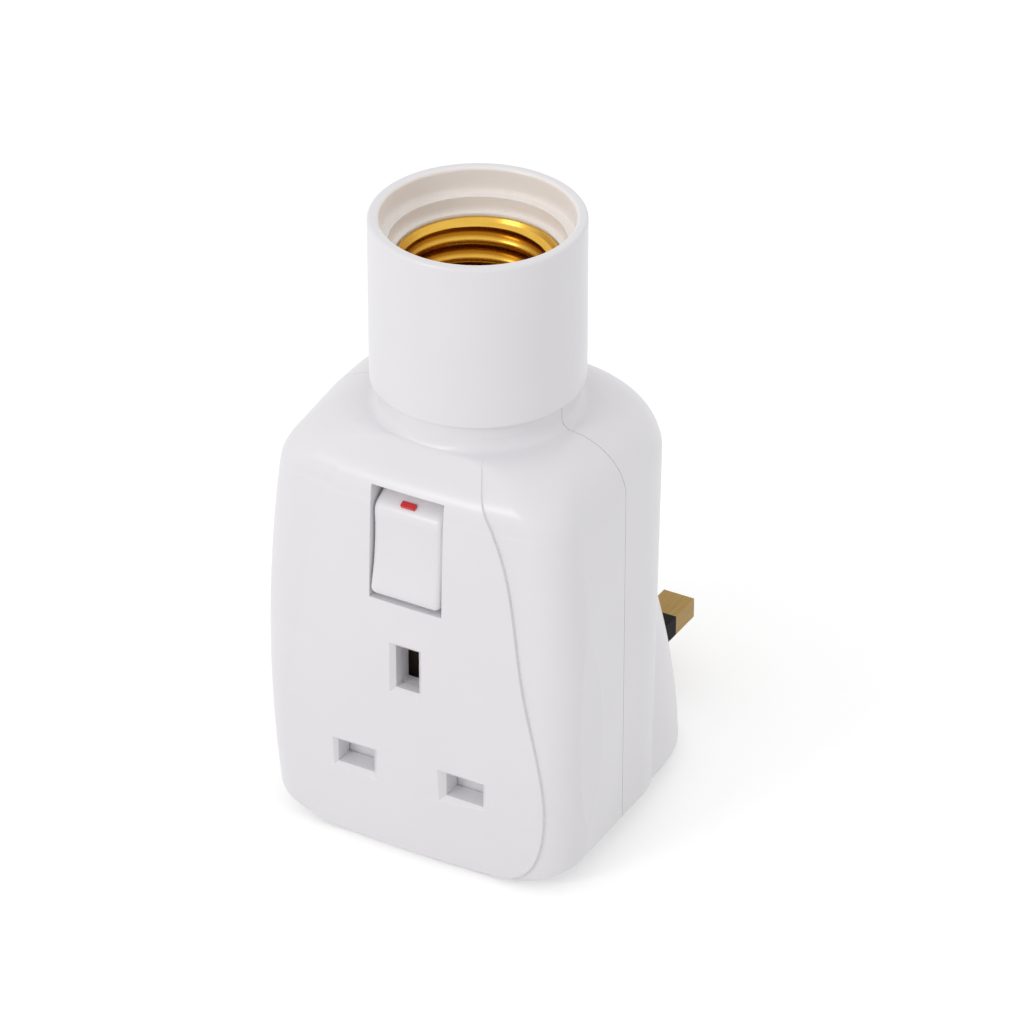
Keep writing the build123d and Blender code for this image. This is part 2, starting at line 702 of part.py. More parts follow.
def coil_spring(length, radius, wire, turns):
    """An open coil along Z, from the origin up, drawn with square wire."""
    path = Helix(pitch=(length - wire) / turns, height=length - wire, radius=radius)
    start = Plane(path @ 0, z_dir=path % 0)
    return Pos(0, 0, wire / 2) * sweep(start * Rectangle(wire, wire), path)


shutter_spring = Pos(0, shutter_mid_y, shutter_top + spring_seat_gap) * coil_spring(
    shutter_spring_length, shutter_spring_radius, shutter_spring_wire, shutter_spring_turns)
save(shutter_spring, "shutter_spring")

# Rocker: drawn level about its axle and tipped to the ON side
half_width = recess_width / 2 - rocker_gap
bevel_z = rocker_crest + rocker_bevel_out
bevel_y = rocker_bevel_back - rocker_reach
upper_crest = (-rocker_reach, rocker_crest)
lower_crest = (-rocker_reach, -rocker_crest)
apron_z = recess_height / 2 - rocker_gap - axle_fit
rocker_side = make_face([
    ThreePointArc(lower_crest, (rocker_dish - rocker_reach, 0), upper_crest),
    Polyline(upper_crest, (bevel_y, bevel_z), (0, apron_z), (rocker_back, rocker_back_half),
             (rocker_back, -rocker_back_half), (0, -apron_z), (bevel_y, -bevel_z), lower_crest)])
rocker = extrude(Plane.YZ * rocker_side, amount=half_width, both=True)
front_edges = [edge for edge in rocker.edges() if all(v.Y < bevel_y + near for v in edge.vertices())]
rocker = fillet(front_edges, rocker_edge)
rocker += rod_x(0, 0, rocker_axle_radius, -half_width - rocker_axle_length, half_width + rocker_axle_length)
stem_end = rocker_back + stem_length
rocker += rod_y(0, 0, stem_radius, 0, stem_end)
plunger_start = stem_end - plunger_length
spring_start = plunger_start - plunger_spring_room
rocker -= rod_y(0, 0, plunger_radius + plunger_fit, spring_start, stem_end)
mark_plane = Plane((0, (bevel_y - rocker_reach) / 2, (bevel_z + rocker_crest) / 2), x_dir=(1, 0, 0),
                   z_dir=(0, rocker_crest - bevel_z, rocker_bevel_back))
mark = extrude(mark_plane * Rectangle(mark_width, mark_height), amount=-mark_depth)
rocker -= mark
plunger_tip = seesaw_pivot_y - strip - plunger_clearance - rocker_pivot_y
plunger = rod_y(0, 0, plunger_radius, plunger_start, plunger_tip - plunger_radius)
plunger += Pos(0, plunger_tip - plunger_radius, 0) * Sphere(plunger_radius)
plunger_spring = Pos(0, spring_start, 0) * Rot(-90, 0, 0) * coil_spring(
    plunger_spring_room, plunger_radius - plunger_spring_wire, plunger_spring_wire, plunger_spring_turns)
at_rocker = Pos(0, rocker_pivot_y, switch_z) * Rot(rocker_tilt, 0, 0)
save(at_rocker * rocker, "rocker")
save(at_rocker * mark, "rocker_mark")
save(at_rocker * plunger, "switch_plunger")
save(at_rocker * plunger_spring, "plunger_spring")

# Seesaw contact: drawn level about its pin and tipped on to the fixed contact
seesaw = span(-seesaw_width / 2, seesaw_width / 2, -strip, 0, -seesaw_half_length, seesaw_half_length)
seesaw += rod_x(0, 0, seesaw_pin_radius, -seesaw_pin_half, seesaw_pin_half)
seesaw += rod_y(0, contact_dot_reach, contact_dot_radius, 0, contact_dot_height)
at_seesaw = Pos(0, seesaw_pivot_y, switch_z) * Rot(-seesaw_tilt, 0, 0)
seesaw = at_seesaw * seesaw
save(seesaw, "seesaw_contact")

# Switch base: plate that closes the well and carries the contacts
base_back_y = switch_base_y + switch_base
switch_plate = span(-well_x, well_x, switch_base_y, base_back_y, switch_z - well_z, switch_z + well_z)
dot_z = switch_z + contact_dot_reach * cos(radians(seesaw_tilt))
tail_half = terminal_width / 2
switch_plate -= rod_y(0, dot_z, rivet_hole, switch_base_y, base_back_y)
switch_plate -= span(-tail_half - rivet_fit, tail_half + rivet_fit, switch_base_y, base_back_y,
                     bracket_tail_z - rivet_fit, bracket_tail_z + bracket_tail_height + rivet_fit)
save(switch_plate, "switch_base")

# Seesaw bracket: two ears hold the pin, and a tail runs through the plate to the line strap
bracket = span(-bracket_ear_x - strip, bracket_ear_x + strip, switch_base_y - strip, switch_base_y,
               bracket_tail_z, switch_z + bracket_ear_half)
for side in (-1, 1):
    inner, outer = sorted((side * bracket_ear_x, side * (bracket_ear_x + strip)))
    bracket += span(inner, outer, seesaw_pivot_y - 2 * seesaw_pin_radius, switch_base_y,
                    switch_z - bracket_ear_half, switch_z + bracket_ear_half)
bracket -= rod_x(seesaw_pivot_y, switch_z, seesaw_pin_radius + axle_fit,
                 -2 * seesaw_pin_half, 2 * seesaw_pin_half)
tail_top = bracket_tail_z + bracket_tail_height
bracket += span(-tail_half, tail_half, switch_base_y, base_back_y, bracket_tail_z, tail_top)
bracket += span(-tail_half, pin_half_pitch + strip / 2, base_back_y, base_back_y + strip,
                bracket_tail_z, tail_top)
bracket += span(pin_half_pitch - strip / 2, pin_half_pitch + strip / 2, base_back_y, strap_front_y,
                bracket_tail_z, tail_top)
save(bracket, "seesaw_bracket")

# Fixed contact: a rivet through the plate, with a strip up to the tail of the centre contact
dot_face_y = (seesaw_pivot_y + contact_dot_height * cos(radians(seesaw_tilt))
              + contact_dot_reach * sin(radians(seesaw_tilt)) + contact_dot_gap)
ear_x = centre_tail_x - strip / 2
fixed = rod_y(0, dot_z, contact_dot_radius, dot_face_y, switch_base_y)
fixed += rod_y(0, dot_z, rivet_radius, switch_base_y, base_back_y)
fixed += span(-tail_half, tail_half, base_back_y, base_back_y + strip, dot_z - tail_half, ear_top)
fixed += span(0, ear_x, base_back_y, base_back_y + strip, centre_tail_z, ear_top)
fixed += span(ear_x - strip, ear_x, base_back_y, centre_tail_width / 2, centre_tail_z, ear_top)
save(fixed, "fixed_contact")
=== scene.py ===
import json
from math import cos, pi, radians, sin

import bpy
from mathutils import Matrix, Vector


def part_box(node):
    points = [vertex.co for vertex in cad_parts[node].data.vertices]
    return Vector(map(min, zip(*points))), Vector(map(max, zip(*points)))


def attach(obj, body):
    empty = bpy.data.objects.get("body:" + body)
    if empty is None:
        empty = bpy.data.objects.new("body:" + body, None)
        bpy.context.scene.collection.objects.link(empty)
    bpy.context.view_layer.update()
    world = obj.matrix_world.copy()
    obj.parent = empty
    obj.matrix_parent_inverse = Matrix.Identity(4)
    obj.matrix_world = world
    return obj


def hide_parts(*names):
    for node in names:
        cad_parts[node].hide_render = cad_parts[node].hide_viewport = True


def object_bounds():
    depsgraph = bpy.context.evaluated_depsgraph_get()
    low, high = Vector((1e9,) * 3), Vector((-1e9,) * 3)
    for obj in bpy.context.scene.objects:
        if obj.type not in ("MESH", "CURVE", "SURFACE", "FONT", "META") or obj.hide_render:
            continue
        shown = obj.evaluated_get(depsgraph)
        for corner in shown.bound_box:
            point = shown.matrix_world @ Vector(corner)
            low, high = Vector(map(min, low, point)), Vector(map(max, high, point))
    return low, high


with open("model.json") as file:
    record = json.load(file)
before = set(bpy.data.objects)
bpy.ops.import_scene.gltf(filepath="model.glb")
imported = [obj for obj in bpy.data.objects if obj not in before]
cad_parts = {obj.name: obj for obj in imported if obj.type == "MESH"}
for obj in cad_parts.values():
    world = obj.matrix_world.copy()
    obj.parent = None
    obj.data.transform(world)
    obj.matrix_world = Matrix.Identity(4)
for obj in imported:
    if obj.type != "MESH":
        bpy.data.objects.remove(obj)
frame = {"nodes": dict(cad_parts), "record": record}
nodes = frame["nodes"]
cad_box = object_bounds()


# Case: two white ABS halves, injection moulded and screwed together from behind.
# The front half carries the outlet and the switch, the rear half swells out to hold the plug pins.
case_white = "#EDEBEE"
case_white_shade = "#E8E6E9"


def linear(hex_code):
    """An sRGB hex colour as linear red, green, blue and alpha."""
    levels = [int(hex_code[at:at + 2], 16) / 255 for at in (1, 3, 5)]
    return [level / 12.92 if level <= 0.04045 else ((level + 0.055) / 1.055) ** 2.4
            for level in levels] + [1.0]


def add_node(tree, kind, inputs=None, **settings):
    """Adds a shader node, with its settings and with the value or link of each input."""
    node = tree.nodes.new("ShaderNode" + kind)
    for name, value in settings.items():
        setattr(node, name, value)
    for socket, value in (inputs or {}).items():
        if isinstance(value, bpy.types.NodeSocket):
            tree.links.new(value, node.inputs[socket])
        else:
            node.inputs[socket].default_value = value
    return node


def per_metre(size_mm):
    """The texture scale at which one feature is about this many millimetres wide."""
    return 1000 / size_mm


def finish_of(name):
    """An empty material, with its node tree."""
    material = bpy.data.materials.new(name)
    material.use_nodes = True
    tree = material.node_tree
    tree.nodes.clear()
    return material, tree


def moulded_plastic(name, colour, shade, roughness, grain_height_mm, ior=1.54, glare=0.5):
    """Plastic out of a spark-eroded mould: an even satin with a soft, slightly uneven highlight.

    The mould's grain is about 0.2 mm, too fine to show here, so it is drawn 0.7 mm wide.
    """
    flow_mm = 18
    grain_mm = 0.7
    satin_swing = 0.05
    material, tree = finish_of(name)
    place = add_node(tree, "TexCoord").outputs["Object"]
    flow = add_node(tree, "TexNoise", {"Vector": place, "Scale": per_metre(flow_mm), "Detail": 3.0})
    tint = add_node(tree, "Mix", {
        "Factor": flow.outputs["Fac"], "A": linear(colour), "B": linear(shade)}, data_type="RGBA")
    grain = add_node(tree, "TexNoise", {"Vector": place, "Scale": per_metre(grain_mm), "Detail": 2.0})
    satin = add_node(tree, "MapRange", {
        "Value": flow.outputs["Fac"],
        "To Min": roughness - satin_swing, "To Max": roughness + satin_swing})
    bump = add_node(tree, "Bump", {
        "Height": grain.outputs["Fac"], "Distance": grain_height_mm / 1000, "Strength": 1.0})
    surface = add_node(tree, "BsdfPrincipled", {
        "Base Color": tint.outputs["Result"], "Roughness": satin.outputs["Result"],
        "Normal": bump.outputs["Normal"], "IOR": ior, "Specular IOR Level": glare})
    add_node(tree, "OutputMaterial", {"Surface": surface.outputs["BSDF"]})
    return material


def cover(material, *names):
    """Gives CAD nodes a finish."""
    for name in names:
        nodes[name].data.materials.clear()
        nodes[name].data.materials.append(material)


# ABS from an eroded mould looks clean white, with broad, soft highlights along the edges.
white_abs = moulded_plastic("white_abs", case_white, case_white_shade, 0.32, 0.004)
cover(white_abs, "front_shell", "rear_shell")


# Case screws: cold-formed in steel wire, with pan heads and a cross recess, and zinc plated.
# They are driven from behind, down to their seats at the bottom of the deep holes.
# The screws of the contact carrier are of the same kind, with plain heads, and are out of sight.
head_radius = 0.0029
head_height = 0.002
head_edge = 0.0007
head_dome_share = 0.4
head_brim_share = 0.6
head_steps = 26
shank_radius = 0.0015
recess_half_width = 0.0004
recess_wall = 0.00015
recess_reach = 0.0017
recess_depth = 0.0012
recess_taper = 2
screw_turn_steps = 64


def bright_steel(name, colour, shade, roughness):
    """Steel, plated or bare: bright grey, and a little cloudy where its surface varies."""
    cloud_mm = 2.5
    dull_swing = 0.08
    material, tree = finish_of(name)
    place = add_node(tree, "TexCoord").outputs["Object"]
    cloud = add_node(tree, "TexNoise", {"Vector": place, "Scale": per_metre(cloud_mm), "Detail": 4.0})
    tint = add_node(tree, "Mix", {
        "Factor": cloud.outputs["Fac"], "A": linear(colour), "B": linear(shade)}, data_type="RGBA")
    dull = add_node(tree, "MapRange", {
        "Value": cloud.outputs["Fac"],
        "To Min": roughness - dull_swing, "To Max": roughness + dull_swing})
    surface = add_node(tree, "BsdfPrincipled", {
        "Base Color": tint.outputs["Result"], "Roughness": dull.outputs["Result"], "Metallic": 1.0})
    add_node(tree, "OutputMaterial", {"Surface": surface.outputs["BSDF"]})
    return material


def add_mesh(name, points, faces, material, body):
    """Adds a smooth mesh that rides on a body and takes its finish from a slot."""
    sharp_angle = radians(40)
    mesh = bpy.data.meshes.new(name)
    mesh.from_pydata(points, [], faces)
    mesh.validate()
    mesh.materials.append(material)
    mesh.shade_smooth()
    mesh.set_sharp_from_angle(angle=sharp_angle)
    piece = bpy.data.objects.new(name, mesh)
    bpy.context.scene.collection.objects.link(piece)
    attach(piece, body)
    return piece


def head_top(across, up):
    """Height of a screw's head above its seat: a low dome with a rounded edge and a sunk cross."""
    out = (across ** 2 + up ** 2) ** 0.5 / head_radius
    brim = max(0.0, out - 1 + head_edge / head_radius) * head_radius / head_edge
    drop = head_edge * (head_dome_share * out ** 2 + head_brim_share * brim ** 2)
    narrow, wide = sorted((abs(across), abs(up)))
    side = min(1.0, max(0.0, (recess_half_width - narrow) / recess_wall + 1))
    end = min(1.0, max(0.0, (recess_reach - wide) / recess_reach * recess_taper))
    return head_height - drop - recess_depth * min(side, end)


# Zinc plate gives the heads a bright grey shine in the dark of their holes.
zinc_plate = bright_steel("zinc_plated_steel", "#C4C6C8", "#A9ABAE", 0.35)
cover(zinc_plate, "carrier_screws")
screw_low, screw_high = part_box("case_screws")
seat_y = screw_high.y - head_height
screw_places = ((screw_low.x + head_radius, screw_high.z - head_radius),
                (screw_high.x - head_radius, screw_high.z - head_radius),
                (0.0, screw_low.z + head_radius))
turns = [(cos(2 * pi * turn / screw_turn_steps), sin(2 * pi * turn / screw_turn_steps))
         for turn in range(screw_turn_steps)]
points = []
faces = []
for x, z in screw_places:
    first = len(points)
    points.append((x, seat_y + head_top(0.0, 0.0), z))
    for step in range(1, head_steps + 1):
        out = head_radius * step / head_steps
        points += [(x + out * right, seat_y + head_top(out * right, out * up), z + out * up)
                   for right, up in turns]
    for out, y in ((head_radius, seat_y), (shank_radius, seat_y), (shank_radius, screw_low.y)):
        points += [(x + out * right, y, z + out * up) for right, up in turns]
    points.append((x, screw_low.y, z))
    last = len(points) - 1
    for turn in range(screw_turn_steps):
        after = (turn + 1) % screw_turn_steps
        faces.append((first, first + 1 + after, first + 1 + turn))
        faces.append((last, last - screw_turn_steps + turn, last - screw_turn_steps + after))
        for ring in range(first + 1, last - screw_turn_steps, screw_turn_steps):
            below = ring + screw_turn_steps
            faces.append((ring + turn, ring + after, below + after, below + turn))
cross_head_screws = add_mesh("cross_head_screws", points, faces, zinc_plate, "case")
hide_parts("case_screws")


# Lamp sleeve: white heat-resisting PBT from a smooth mould, snapped into the neck of the case.
# It is as white as the case outside, and inside the mouth it is drawn a paler, warmer cream.
mouth_radius = 0.0171
mouth_blend = 0.0006
mouth_cream = "#F9F4F0"


def blend_by_radius(material, from_radius, to_radius, colour, from_height=1.0, to_height=0.9):
    """Lets a finish change to another colour between two radii about the lamp's axis, up to a height."""
    tree = material.node_tree
    surface = next(node for node in tree.nodes if node.type == "BSDF_PRINCIPLED")
    first_colour = surface.inputs["Base Color"].links[0].from_socket
    place = add_node(tree, "TexCoord").outputs["Object"]
    across = add_node(tree, "VectorMath", {0: place, 1: (1.0, 1.0, 0.0)}, operation="MULTIPLY")
    radius = add_node(tree, "VectorMath", {0: across.outputs["Vector"]}, operation="LENGTH")
    share = add_node(tree, "MapRange", {
        "Value": radius.outputs["Value"], "From Min": from_radius, "From Max": to_radius})
    height = add_node(tree, "SeparateXYZ", {"Vector": place})
    below = add_node(tree, "MapRange", {
        "Value": height.outputs["Z"], "From Min": from_height, "From Max": to_height})
    both = add_node(tree, "Math", {
        0: share.outputs["Result"], 1: below.outputs["Result"]}, operation="MULTIPLY")
    tint = add_node(tree, "Mix", {
        "Factor": both.outputs["Value"], "A": first_colour, "B": linear(colour)}, data_type="RGBA")
    tree.links.new(tint.outputs["Result"], surface.inputs["Base Color"])


# PBT is a little glossier than the case, so the round wall shades evenly from left to right.
white_pbt = moulded_plastic("white_pbt", case_white, case_white_shade, 0.3, 0.003, ior=1.56)
blend_by_radius(white_pbt, mouth_radius + mouth_blend, mouth_radius, mouth_cream)
cover(white_pbt, "lamp_sleeve")


# Lamp base: a disc of urea, pressed in a heated mould, that lies on the floor of the sleeve.
# The rivets clamp it there, and it keeps the centre contact clear of the shell.
# Urea looks dull and grey, with hardly a highlight.
grey_urea = moulded_plastic("grey_urea", "#8B8984", "#7C7A75", 0.5, 0.006)
cover(grey_urea, "lamp_base")


# Screw shell: brass sheet half a millimetre thick, drawn to a cup and rolled with the lamp thread.
# The thread is right-handed, with seven rounded turns to the inch.
# Sizes along the axis are heights above the underside of its floor, or depths below its lip.
shell_low, shell_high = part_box("screw_shell")
shell_height = shell_high.z - shell_low.z
shell_sheet = 0.0005
shell_bore = 0.0134
shell_floor_bore = 0.0088
shell_foot_bore = 0.0124
foot_height = 0.0046
foot_step_height = 0.0056
lip_depth = 0.0008
lip_flare = 0.0005
lip_bright_depth = 0.0014
lip_blend = 0.0006
thread_pitch = 0.0254 / 7
thread_crest = 0.01228
thread_root = 0.01318
thread_fade = 0.0005
thread_start = radians(120)
first_ridge_depth = 0.0003
# Painted shade: behind the crests and below the bright lip, the grooves are painted brown.
groove_starts_behind_crest = 0.0002
groove_full_behind_crest = 0.0006
groove_painted_shade = "#A86C16"
shell_turn_steps = 160
shell_rise_steps = 150


def shell_radius(height, angle):
    """Inner radius of the wall at a height and an angle, with the thread between foot and lip."""
    lip_height = shell_height - lip_depth
    if height < foot_height:
        return shell_foot_bore
    if height < foot_step_height:
        share = (height - foot_height) / (foot_step_height - foot_height)
        return shell_foot_bore + (shell_bore - shell_foot_bore) * share
    if height > lip_height:
        return shell_bore + lip_flare * (height - lip_height) / lip_depth
    share = min(1.0, (height - foot_step_height) / thread_fade, (lip_height - height) / thread_fade)
    turn = 2 * pi * (height - shell_height + first_ridge_depth) / thread_pitch - angle + thread_start
    threaded = (thread_crest + thread_root) / 2 - (thread_root - thread_crest) / 2 * cos(turn)
    return shell_bore + (threaded - shell_bore) * share


def metal(name, bright, dull, roughness, streak_mm):
    """A bare metal whose colour and polish vary in streaks of the given size along X, Y and Z."""
    polish_swing = 0.08
    material, tree = finish_of(name)
    place = add_node(tree, "TexCoord").outputs["Object"]
    stretch = add_node(tree, "Mapping", {
        "Vector": place, "Scale": [per_metre(size) for size in streak_mm]})
    streak = add_node(tree, "TexNoise", {
        "Vector": stretch.outputs["Vector"], "Scale": 1.0, "Detail": 4.0})
    tint = add_node(tree, "Mix", {
        "Factor": streak.outputs["Fac"], "A": linear(bright), "B": linear(dull)}, data_type="RGBA")
    polish = add_node(tree, "MapRange", {
        "Value": streak.outputs["Fac"],
        "To Min": roughness - polish_swing, "To Max": roughness + polish_swing})
    surface = add_node(tree, "BsdfPrincipled", {
        "Base Color": tint.outputs["Result"], "Roughness": polish.outputs["Result"], "Metallic": 1.0})
    add_node(tree, "OutputMaterial", {"Surface": surface.outputs["BSDF"]})
    return material


# Rolled brass is bright gold on the lip and the ridges. Below the lip the grooves are painted
# brown, as painted shade for the dark of the thread's troughs.
rolled_brass = metal("rolled_brass", "#EDC25A", "#DDAA40", 0.26, (3.0, 3.0, 0.6))
lip_end = shell_high.z - lip_bright_depth
blend_by_radius(rolled_brass, thread_crest + groove_starts_behind_crest,
                thread_crest + groove_full_behind_crest, groove_painted_shade,
                from_height=lip_end, to_height=lip_end - lip_blend)
inner_rows = [[(shell_floor_bore, shell_sheet)] * shell_turn_steps]
for step in range(shell_rise_steps + 1):
    height = shell_sheet + (shell_height - shell_sheet) * step / shell_rise_steps
    inner_rows.append([(shell_radius(height, 2 * pi * turn / shell_turn_steps), height)
                       for turn in range(shell_turn_steps)])
outer_rows = [[(radius + shell_sheet, height) for radius, height in row] for row in inner_rows]
outer_rows[0] = [(shell_floor_bore, 0.0)] * shell_turn_steps
outer_rows[1] = [(radius, 0.0) for radius, height in outer_rows[1]]
rows = inner_rows + outer_rows[::-1]
points = []
for row in rows:
    for turn, (radius, height) in enumerate(row):
        angle = 2 * pi * turn / shell_turn_steps
        points.append((radius * cos(angle), radius * sin(angle), shell_low.z + height))
faces = []
for row in range(len(rows)):
    here = row * shell_turn_steps
    above = (row + 1) % len(rows) * shell_turn_steps
    for turn in range(shell_turn_steps):
        after = (turn + 1) % shell_turn_steps
        faces.append((here + turn, above + turn, above + after, here + after))
screw_thread = add_mesh("screw_thread", points, faces, rolled_brass, "case")
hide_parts("screw_shell")


# Brass inside: the centre contact, the rivets and the terminal under the sleeve's floor,
# the outlet's clips, the switch's contacts and the straps that join them to the pins.
# All are pressed from strip, which leaves them a duller gold than the rolled shell.
pressed_brass = metal("pressed_brass", "#D9B262", "#C59A47", 0.36, (4.0, 4.0, 0.8))
cover(pressed_brass, "centre_contact", "lamp_rivets", "shell_terminal", "line_contact",
      "neutral_contact", "earth_contact", "line_strap", "neutral_strap", "earth_strap",
      "fixed_contact", "seesaw_contact", "seesaw_bracket")


# Plug pins: brass bar, drawn, cut and chamfered at the tip, and pressed into the rear half.
# Drawing leaves fine marks along their length and a brownish, half-dull gold. The marks are
# about 0.1 mm wide, too fine to show here, so they are drawn 0.5 mm wide.
drawn_brass = metal("drawn_brass", "#B0925A", "#977843", 0.4, (0.5, 9.0, 0.5))
cover(drawn_brass, "line_pin", "neutral_pin", "earth_pin")


# Pin sleeves: black nylon moulded flush round the root of the line and neutral pins.
# It is dead matt, so that the white surround hardly shows on it.
black_nylon = moulded_plastic("black_nylon", "#1A1A1C", "#141416", 0.6, 0.006, ior=1.53, glare=0.1)
cover(black_nylon, "line_pin_sleeve", "neutral_pin_sleeve")


# Contact carrier and switch base: mouldings inside the case that hold the contacts.
# Their phenolic is a darker and warmer grey than the lamp base, and is seen only down the slots.
dark_phenolic = moulded_plastic("dark_phenolic", "#5E5148", "#52463E", 0.5, 0.006)
cover(dark_phenolic, "contact_carrier", "switch_base")


# Shutter: one white ABS slider that closes the line and neutral slots, with a ramp along its
# lower edge that the pins of a plug push up. The face behind the slots is flat and close to them.
shutter_low, shutter_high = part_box("shutter")
shutter_top = 0.0211
ramp_top = 0.0150
ramp_depth = 0.0023


def bar_faces(ring_size, ring_count):
    """Faces of a closed bar whose points come ring by ring, from one end to the other."""
    total = ring_size * ring_count
    faces = [tuple(range(ring_size)), tuple(range(total - 1, total - ring_size - 1, -1))]
    for ring in range(0, total - ring_size, ring_size):
        for corner in range(ring_size):
            after = (corner + 1) % ring_size
            faces.append((ring + after, ring + corner,
                          ring + ring_size + corner, ring + ring_size + after))
    return faces


outline = [(shutter_low.y, shutter_top), (shutter_high.y, shutter_top),
           (shutter_high.y, shutter_low.z), (shutter_low.y + ramp_depth, shutter_low.z),
           (shutter_low.y, ramp_top)]
points = [(x, y, z) for x in (-shutter_high.x, shutter_high.x) for y, z in outline]
faces = bar_faces(len(outline), 2)
shutter_slide = add_mesh("shutter_slide", points, faces, white_abs, "shutter")
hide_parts("shutter")


# Plunger and springs: a grey urea plug that a coil in the rocker's stem pushes against the
# seesaw, and the coil that brings the shutter back down. Both coils are wound from hard wire.
# Spring steel is bright and a little darker than zinc plate.
cover(grey_urea, "switch_plunger")
spring_steel = bright_steel("spring_steel", "#B5B6B8", "#98999C", 0.3)
cover(spring_steel, "shutter_spring", "plunger_spring")


# Rocker: white ABS on two stub axles, its face hollowed for the finger and its edges rounded.
# A stem at its back guides the plunger. Its side view is drawn about the axle, as Y and Z,
# as it stands when switched on.
rocker_axle = Vector(next(joint["pos_m"] for joint in frame["record"]["behaviour"]["joints"]
                          if joint["name"] == "rocker_hinge"))
rocker_half_width = 0.00695
lower_bevel = Vector((-0.0055, -0.0107))
lower_crest = Vector((-0.0107, -0.0100))
hollow_low = Vector((-0.0093, -0.0040))
hollow_high = Vector((-0.0087, 0.0026))
upper_crest = Vector((-0.0090, 0.00735))
upper_bevel = Vector((-0.0057, 0.00905))
apron_half = 0.0108
rocker_back = 0.0020
rocker_back_half = 0.0060
hollow_blend = 0.0028
crest_rounding = 0.0018
side_rounding = 0.0012
rounding_steps = 6
axle_radius = 0.0016
axle_core = axle_radius / 9
axle_half = 0.00805
axle_root = 0.0010
stem_tilt = radians(10)
stem_radius = 0.0024
stem_bore = 0.00135
stem_end = 0.0056
across = Vector((1, 0, 0))
stem_way = Vector((0, cos(stem_tilt), sin(stem_tilt)))
stem_rise = Vector((0, -sin(stem_tilt), cos(stem_tilt)))


def soften(corners, reaches):
    """A path through corners that turns each inner one into a curve, from this far on either side."""
    path = [corners[0]]
    for before, corner, after, reach in zip(corners, corners[1:], corners[2:], reaches):
        start = corner + (before - corner).normalized() * reach
        end = corner + (after - corner).normalized() * reach
        for step in range(rounding_steps + 1):
            share = step / rounding_steps
            path.append(start.lerp(corner, share).lerp(corner.lerp(end, share), share))
    return path + [corners[-1]]


def add_tube(points, faces, rings, turn_steps=40):
    """Adds a closed turned shape on the axle: each ring has a centre, two directions and a radius."""
    first = len(points)
    for centre, one_way, other_way, radius in rings:
        for step in range(turn_steps):
            angle = 2 * pi * step / turn_steps
            spoke = cos(angle) * one_way + sin(angle) * other_way
            points.append(rocker_axle + centre + radius * spoke)
    for ring in range(len(rings)):
        here = first + ring * turn_steps
        above = first + (ring + 1) % len(rings) * turn_steps
        for step in range(turn_steps):
            after = (step + 1) % turn_steps
            faces.append((here + step, here + after, above + after, above + step))


front = soften([lower_bevel, lower_crest, hollow_low, hollow_high, upper_crest, upper_bevel],
               [crest_rounding, hollow_blend, hollow_blend, crest_rounding])
behind = [Vector((0.0, apron_half)), Vector((rocker_back, rocker_back_half)),
          Vector((rocker_back, -rocker_back_half)), Vector((0.0, -apron_half))]
rings = []
for sign in (-1, 1):
    for step in range(rounding_steps + 1):
        angle = pi / 2 * step / rounding_steps
        x = sign * (rocker_half_width - side_rounding * (1 - sin(angle)))
        rings.append((x, side_rounding * (1 - cos(angle))))
rings.sort()
points = []
for x, sunk in rings:
    for at, place in enumerate(front):
        along = front[min(at + 1, len(front) - 1)] - front[max(at - 1, 0)]
        inward = Vector((along.y, -along.x)).normalized()
        points.append(rocker_axle + Vector((x, *(place + sunk * inward))))
    points += [rocker_axle + Vector((x, *place)) for place in behind]
faces = bar_faces(len(front) + len(behind), len(rings))
stem_profile = ((0.0, stem_radius), (stem_end, stem_radius), (stem_end, stem_bore), (0.0, stem_bore))
add_tube(points, faces, [(stem_way * y, stem_rise, across, radius) for y, radius in stem_profile])
for sign in (-1, 1):
    inner = sign * (rocker_half_width - axle_root)
    outer = sign * axle_half
    axle_profile = ((inner, axle_radius), (outer, axle_radius), (outer, axle_core), (inner, axle_core))
    # Taken backwards on the left, the rings leave the faces of both stubs turned outwards.
    add_tube(points, faces, [(across * x, stem_way, stem_rise, radius)
                             for x, radius in axle_profile[::sign]])
rocker_cap = add_mesh("rocker_cap", points, faces, white_abs, "rocker")
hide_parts("rocker")


# Rocker mark: a slip of red ABS set on the upper bevel, which shows that the switch is on.
# It stands 0.6 mm out of the bevel, and sits a little to the left of the middle.
mark_half_width = 0.00136
mark_half_height = 0.00055
mark_stands_out = 0.0006
mark_let_in = 0.00003
mark_aside = -0.0003
mark_share_up_bevel = 0.44
bevel = Vector((0.0, *(upper_bevel - upper_crest)))
bevel_way = bevel.normalized()
bevel_out = across.cross(bevel_way)
mark_middle = rocker_axle + Vector((mark_aside, *upper_crest)) + mark_share_up_bevel * bevel
square = ((-1, -1), (1, -1), (1, 1), (-1, 1))
points = []
for height in (mark_stands_out, -mark_let_in):
    for side, end in square:
        corner = side * mark_half_width * across + end * mark_half_height * bevel_way
        points.append(mark_middle + corner + height * bevel_out)
faces = bar_faces(len(square), 2)
# Red ABS is a clear, even signal red with much the same satin as the case.
red_abs = moulded_plastic("red_abs", "#DC2F2F", "#D02828", 0.35, 0.004)
red_mark = add_mesh("red_mark", points, faces, red_abs, "rocker")
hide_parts("rocker_mark")


# Studio: a pale paper floor that is white to the eye and keeps the shadow, a soft lamp up on
# the left in front, and an even white surround.
floor_half = 3.0
floor_grey = "#E9E9E9"
floor_lift = 0.36
surround_light = 0.81
surround_white = 1.0
lamp_from = Vector((-0.305, -0.839, 0.450))
lamp_distance = 0.9
lamp_power = 1.32
lamp_size = 0.26


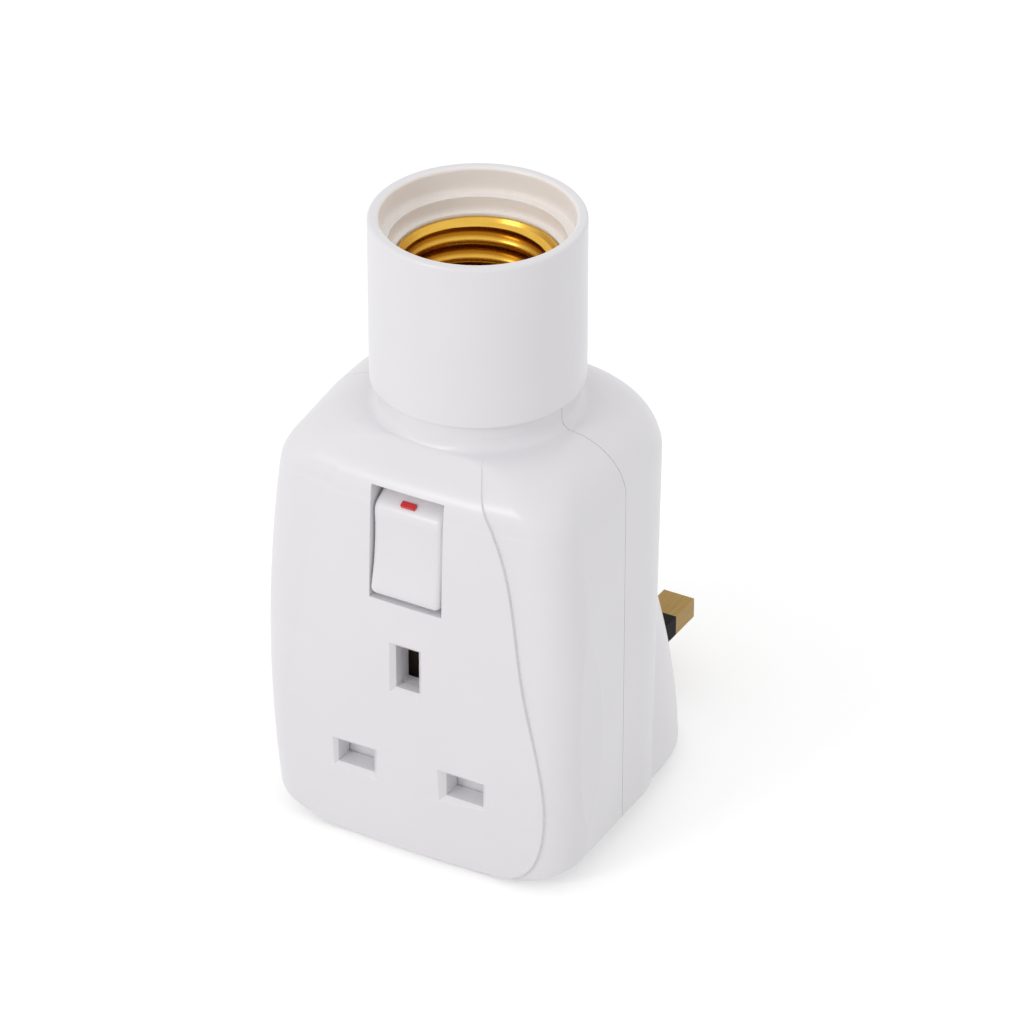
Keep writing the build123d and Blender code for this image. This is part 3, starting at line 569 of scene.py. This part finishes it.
def seen_by_eye(tree):
    """1 for rays that come from the eye, straight, mirrored or through glass, and 0 for the rest."""
    ray = add_node(tree, "LightPath")
    seen = add_node(tree, "Math", {
        0: ray.outputs["Is Camera Ray"], 1: ray.outputs["Is Glossy Ray"]}, operation="MAXIMUM")
    seen = add_node(tree, "Math", {
        0: seen.outputs["Value"], 1: ray.outputs["Is Transmission Ray"]}, operation="MAXIMUM")
    return seen.outputs["Value"]


floor_mesh = bpy.data.meshes.new("floor")
floor_mesh.from_pydata([(floor_half * x, floor_half * y, 0.0) for x, y in square], [], [(0, 1, 2, 3)])
floor = bpy.data.objects.new("floor", floor_mesh)
bpy.context.scene.collection.objects.link(floor)
# White paper is matt. It glows a little to the eye alone, so that only the shadow shows on it.
white_paper, tree = finish_of("white_paper")
lift = add_node(tree, "Math", {0: seen_by_eye(tree), 1: floor_lift}, operation="MULTIPLY")
matt = add_node(tree, "BsdfDiffuse", {"Color": linear(floor_grey)})
glow = add_node(tree, "Emission", {"Strength": lift.outputs["Value"]})
both = add_node(tree, "AddShader", {0: matt.outputs["BSDF"], 1: glow.outputs["Emission"]})
add_node(tree, "OutputMaterial", {"Surface": both.outputs["Shader"]})
floor_mesh.materials.append(white_paper)

world = bpy.data.worlds.new("surround")
bpy.context.scene.world = world
world.use_nodes = True
tree = world.node_tree
tree.nodes.clear()
level = add_node(tree, "MapRange", {
    "Value": seen_by_eye(tree), "To Min": surround_light, "To Max": surround_white})
light = add_node(tree, "Background", {
    "Color": (1.0, 1.0, 1.0, 1.0), "Strength": level.outputs["Result"]})
add_node(tree, "OutputWorld", {"Surface": light.outputs["Background"]})

lamp = bpy.data.lights.new("soft_lamp", "AREA")
lamp.energy = lamp_power
lamp.size = lamp_size
lamp_object = bpy.data.objects.new("soft_lamp", lamp)
lamp_object.location = (cad_box[0] + cad_box[1]) / 2 + lamp_distance * lamp_from
lamp_object.rotation_euler = lamp_from.to_track_quat("Z", "Y").to_euler()
bpy.context.scene.collection.objects.link(lamp_object)


# Camera: a long lens from above, to the right of the front, as the photograph was taken.
# It looks down by its dip, and is turned about Z from the view straight onto the front.
camera_dip = radians(31.97)
camera_turn = radians(29.48)
camera = bpy.data.cameras.new("camera")
camera.lens = 210.94
camera.sensor_width = 36.0
camera_object = bpy.data.objects.new("camera", camera)
camera_object.location = (0.4469, -0.7786, 0.6191)
camera_object.rotation_euler = (pi / 2 - camera_dip, 0.0, camera_turn)
bpy.context.scene.collection.objects.link(camera_object)
bpy.context.scene.camera = camera_object
bpy.context.scene.view_settings.view_transform = "Standard"
